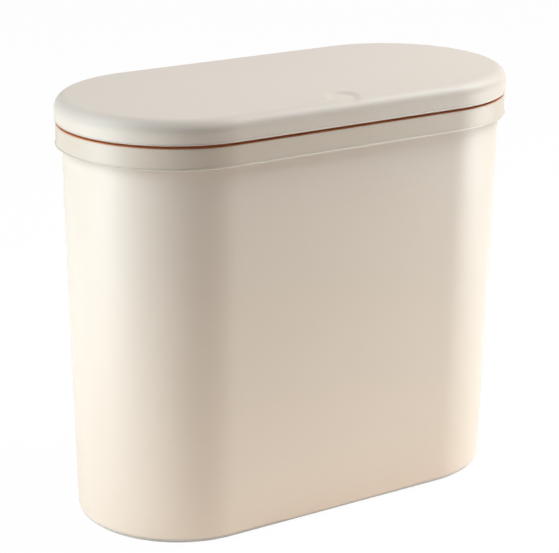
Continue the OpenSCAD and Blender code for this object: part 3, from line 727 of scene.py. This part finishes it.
def makeHingeSprings():
    v, steps = hingeSpringValues, wireValues["stepsPerTurn"]
    radius, start = v["radius"], collarValues["hingeX"] + v["start"]
    deckUnder = collarValues["deck"] - collarValues["deckThick"] - pin["z"] - v["deckGap"]
    for name, s in (("left", -1), ("right", 1)):
        path = [(x, radius, z) for x, z in v["armLeg"]]
        for i in range(round(v["turns"] * steps) + 1):
            a = math.pi / 2 + 2 * math.pi * i / steps
            path.append((radius * math.cos(a), radius * math.sin(a), v["rise"] * i / steps))
        path.append((-radius, -deckUnder, v["turns"] * v["rise"]))
        points = [(s * (start + z), pin["y"] - x, pin["z"] - y) for x, y, z in path]
        coil = wirePiece("hingeSpring." + name, points, v["wire"])
        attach(coil, "collar")
        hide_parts("hinge_spring_" + name)


def makeLatchSpring():
    v, steps = latchSpringValues, wireValues["stepsPerTurn"]
    low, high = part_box("latch_spring")
    centre, wire, total = (low + high) / 2, v["wire"], v["turns"] * steps
    points = []
    for i in range(total + 1):
        a = 2 * math.pi * i / steps
        z = low.z + wire + (high.z - low.z - 2 * wire) * i / total
        points.append((v["radius"] * math.cos(a), centre.y + v["radius"] * math.sin(a), z))
    path = wirePiece("latchSpringPath", points, wire)
    mesh = bakedMesh(path)  # a mesh, baked from the curve
    bpy.data.objects.remove(path)
    coil = addObject("latchSpring", mesh)
    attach(coil, "collar")
    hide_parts("latch_spring")
    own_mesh(coil)


makeHingeSprings()
makeLatchSpring()
print("springs made")


kept = {  # CAD pieces that stay: finish, and the width of their softened edges in mm
    "base_pads": (padGrey, 0.5),
    "hinge_pin_left": (steel, 0.1), "hinge_pin_right": (steel, 0.1),
    "hinge_cover_left": (frameCream, 0.2), "hinge_cover_right": (frameCream, 0.2),
    "latch_housing": (latchGrey, 0.3), "latch_cover": (latchGrey, 0.3),
    "latch_slider": (sliderWhite, 0.15), "cam_link": (steel, 0.12), "latch_screws": (steel, 0.08),
    "striker": (latchGrey, 0.25), "striker_screws": (steel, 0.08),
    "lid_screws": (steel, 0.08), "lid_bumpers": (padGrey, 0.2),
}
for nodeName, (material, width) in kept.items():
    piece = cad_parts[nodeName]
    piece.data.materials.clear()
    piece.data.materials.append(material)
    addBevel(piece, width * mm, weld=True)
print("small parts finished")


cameraValues = {
    "azimuth": -32.489, "elevation": 18.375, "roll": 0.199, "distance": 1.20205,
    "target": (-0.04865, -0.04088, 0.15088), "lens": 127.04, "shiftX": 0.0424, "shiftY": 0.0196,
}


def directionFrom(azimuth, elevation):  # azimuth from the front, both in degrees
    a, e = math.radians(azimuth), math.radians(elevation)
    return Vector((math.sin(a) * math.cos(e), -math.cos(a) * math.cos(e), math.sin(e)))


def makeCamera():
    v = cameraValues
    a, roll = math.radians(v["azimuth"]), math.radians(v["roll"])
    back = directionFrom(v["azimuth"], v["elevation"])
    level = Vector((math.cos(a), math.sin(a), 0))
    upright = back.cross(level)
    right = level * math.cos(roll) + upright * math.sin(roll)
    up = upright * math.cos(roll) - level * math.sin(roll)
    data = bpy.data.cameras.new("camera")
    data.lens = v["lens"]
    data.shift_x, data.shift_y = v["shiftX"], v["shiftY"]
    camera = addObject("camera", data)
    turn = Matrix((right, up, back)).transposed().to_4x4()
    camera.matrix_world = Matrix.Translation(Vector(v["target"]) + back * v["distance"]) @ turn
    bpy.context.scene.camera = camera


coolWhite, softWhite, warmWhite = (0.83, 0.95, 1.0), (0.88, 0.98, 1.0), (1.0, 0.84, 0.78)
lightValues = {  # azimuth, elevation, distance, (width, height), power, colour, seen in reflections
    "leftHigh": (-105, 42, 1.6, (0.5, 0.8), 13.2, coolWhite, True),
    "leftMid": (-105, 22, 1.6, (0.5, 0.8), 5.5, coolWhite, True),
    "leftCard": (-98, -4, 0.8, (0.4, 0.16), 2.7, coolWhite, True),
    "rightHigh": (72, 44, 1.6, (0.6, 0.8), 23, softWhite, True),
    "rightTop": (80, 65, 1.6, (0.8, 0.8), 8, warmWhite, False),
    "rightCard": (62, -4, 0.8, (0.35, 0.16), 2.2, softWhite, True),
}
lightAim = (0.0, 0.0, 0.14)
tableValues = {"size": (1.1, 0.9), "height": 3 * mm, "power": 2.0, "colour": (1.0, 0.66, 0.36)}


def addLamp(name, size, power, colour):
    data = bpy.data.lights.new(name, "AREA")
    data.shape = "RECTANGLE"
    data.size, data.size_y = size
    data.energy = power
    data.color = colour
    return addObject(name, data)


def makeLights():
    for name, (azimuth, elevation, distance, size, power, colour, mirrored) in lightValues.items():
        towards = directionFrom(azimuth, elevation)
        lamp = addLamp(name, size, power, colour)
        lamp.location = Vector(lightAim) + towards * distance
        lamp.rotation_mode = "QUATERNION"
        lamp.rotation_quaternion = towards.to_track_quat("Z", "Y")
        lamp.visible_glossy = mirrored
    v = tableValues  # warm glow of the lit table top
    lamp = addLamp("tableGlow", v["size"], v["power"], v["colour"])
    lamp.location = (0, 0, v["height"])
    lamp.rotation_euler = (math.pi, 0, 0)
    lamp.visible_camera = lamp.visible_glossy = False


worldValues = {  # what shiny surfaces mirror: a wall, a bright band above it and a dark ceiling
    "wall": 0.45, "wallEdge": (-0.6, -0.2),  # strength, and where it starts from left to right
    "band": 1.2, "bandLow": (22, 38), "bandHigh": (60, 75),  # strength, and its edges in degrees
}
floorValues = {
    "size": 3, "cells": 4, "grain": 600.0, "dark": 0.84, "light": 0.86,
    "white": 0.98,  # share of plain white that the camera sees, the rest is lit paper with its shadow
    "shine": 0.25,  # the same share in what shiny surfaces mirror
}


def seenRays(base):  # straight to the camera or through something clear, and off something shiny
    camera, glossy, clear = (base.make("ShaderNodeLightPath", output=i) for i in (0, 3, 6))
    return base.maths("MAXIMUM", camera, clear), glossy


def heights(angles):
    return [math.sin(math.radians(a)) for a in angles]


def grey(level):
    return (level, level, level, 1)


def makeWorld():
    v = worldValues
    world = bpy.data.worlds.new("studio")
    bpy.context.scene.world = world
    world.use_nodes = True
    world.node_tree.nodes.clear()
    base = Socket(world.node_tree)
    where = base.make("ShaderNodeTexCoord", output=0)
    side = base.make("ShaderNodeSeparateXYZ", {}, {0: where}, output=0)
    height = base.make("ShaderNodeSeparateXYZ", {}, {0: where}, output=2)
    wall = smoothStep(base, side, v["wallEdge"], (0.0, v["wall"]))
    rise = smoothStep(base, height, heights(v["bandLow"]), (0.0, 1.0))
    fall = smoothStep(base, height, heights(v["bandHigh"]), (v["band"], 0.0))
    seen, glossy = seenRays(base)
    strength = base.maths("MAXIMUM", seen, glossy * (wall * (1.0 - rise) + rise * fall))
    sky = base.make("ShaderNodeBackground", {}, {"Color": grey(1), "Strength": strength})
    base.make("ShaderNodeOutputWorld", {}, {"Surface": sky})


def makeFloor():
    v = floorValues
    material, base = newMaterial("floorPaper")
    paper = noise(base, objectPlace(base), v["grain"])
    matt = base.make("ShaderNodeBsdfDiffuse", {}, {"Color": paper.blend(grey(v["dark"]), grey(v["light"]))})
    white = base.make("ShaderNodeEmission", {}, {"Color": grey(1), "Strength": 1.0})
    seen, glossy = seenRays(base)
    factor = base.maths("MAXIMUM", seen * v["white"], glossy * v["shine"])
    finishMaterial(base, base.make("ShaderNodeMixShader", {}, {0: factor, 1: matt, 2: white}))
    bm = bmesh.new()
    bmesh.ops.create_grid(bm, x_segments=v["cells"], y_segments=v["cells"], size=v["size"])
    floor = finishMesh("floor", bm, material)


makeCamera()
makeLights()
makeWorld()
makeFloor()
bpy.context.scene.view_settings.view_transform = "Standard"
print("camera, lights and floor made")
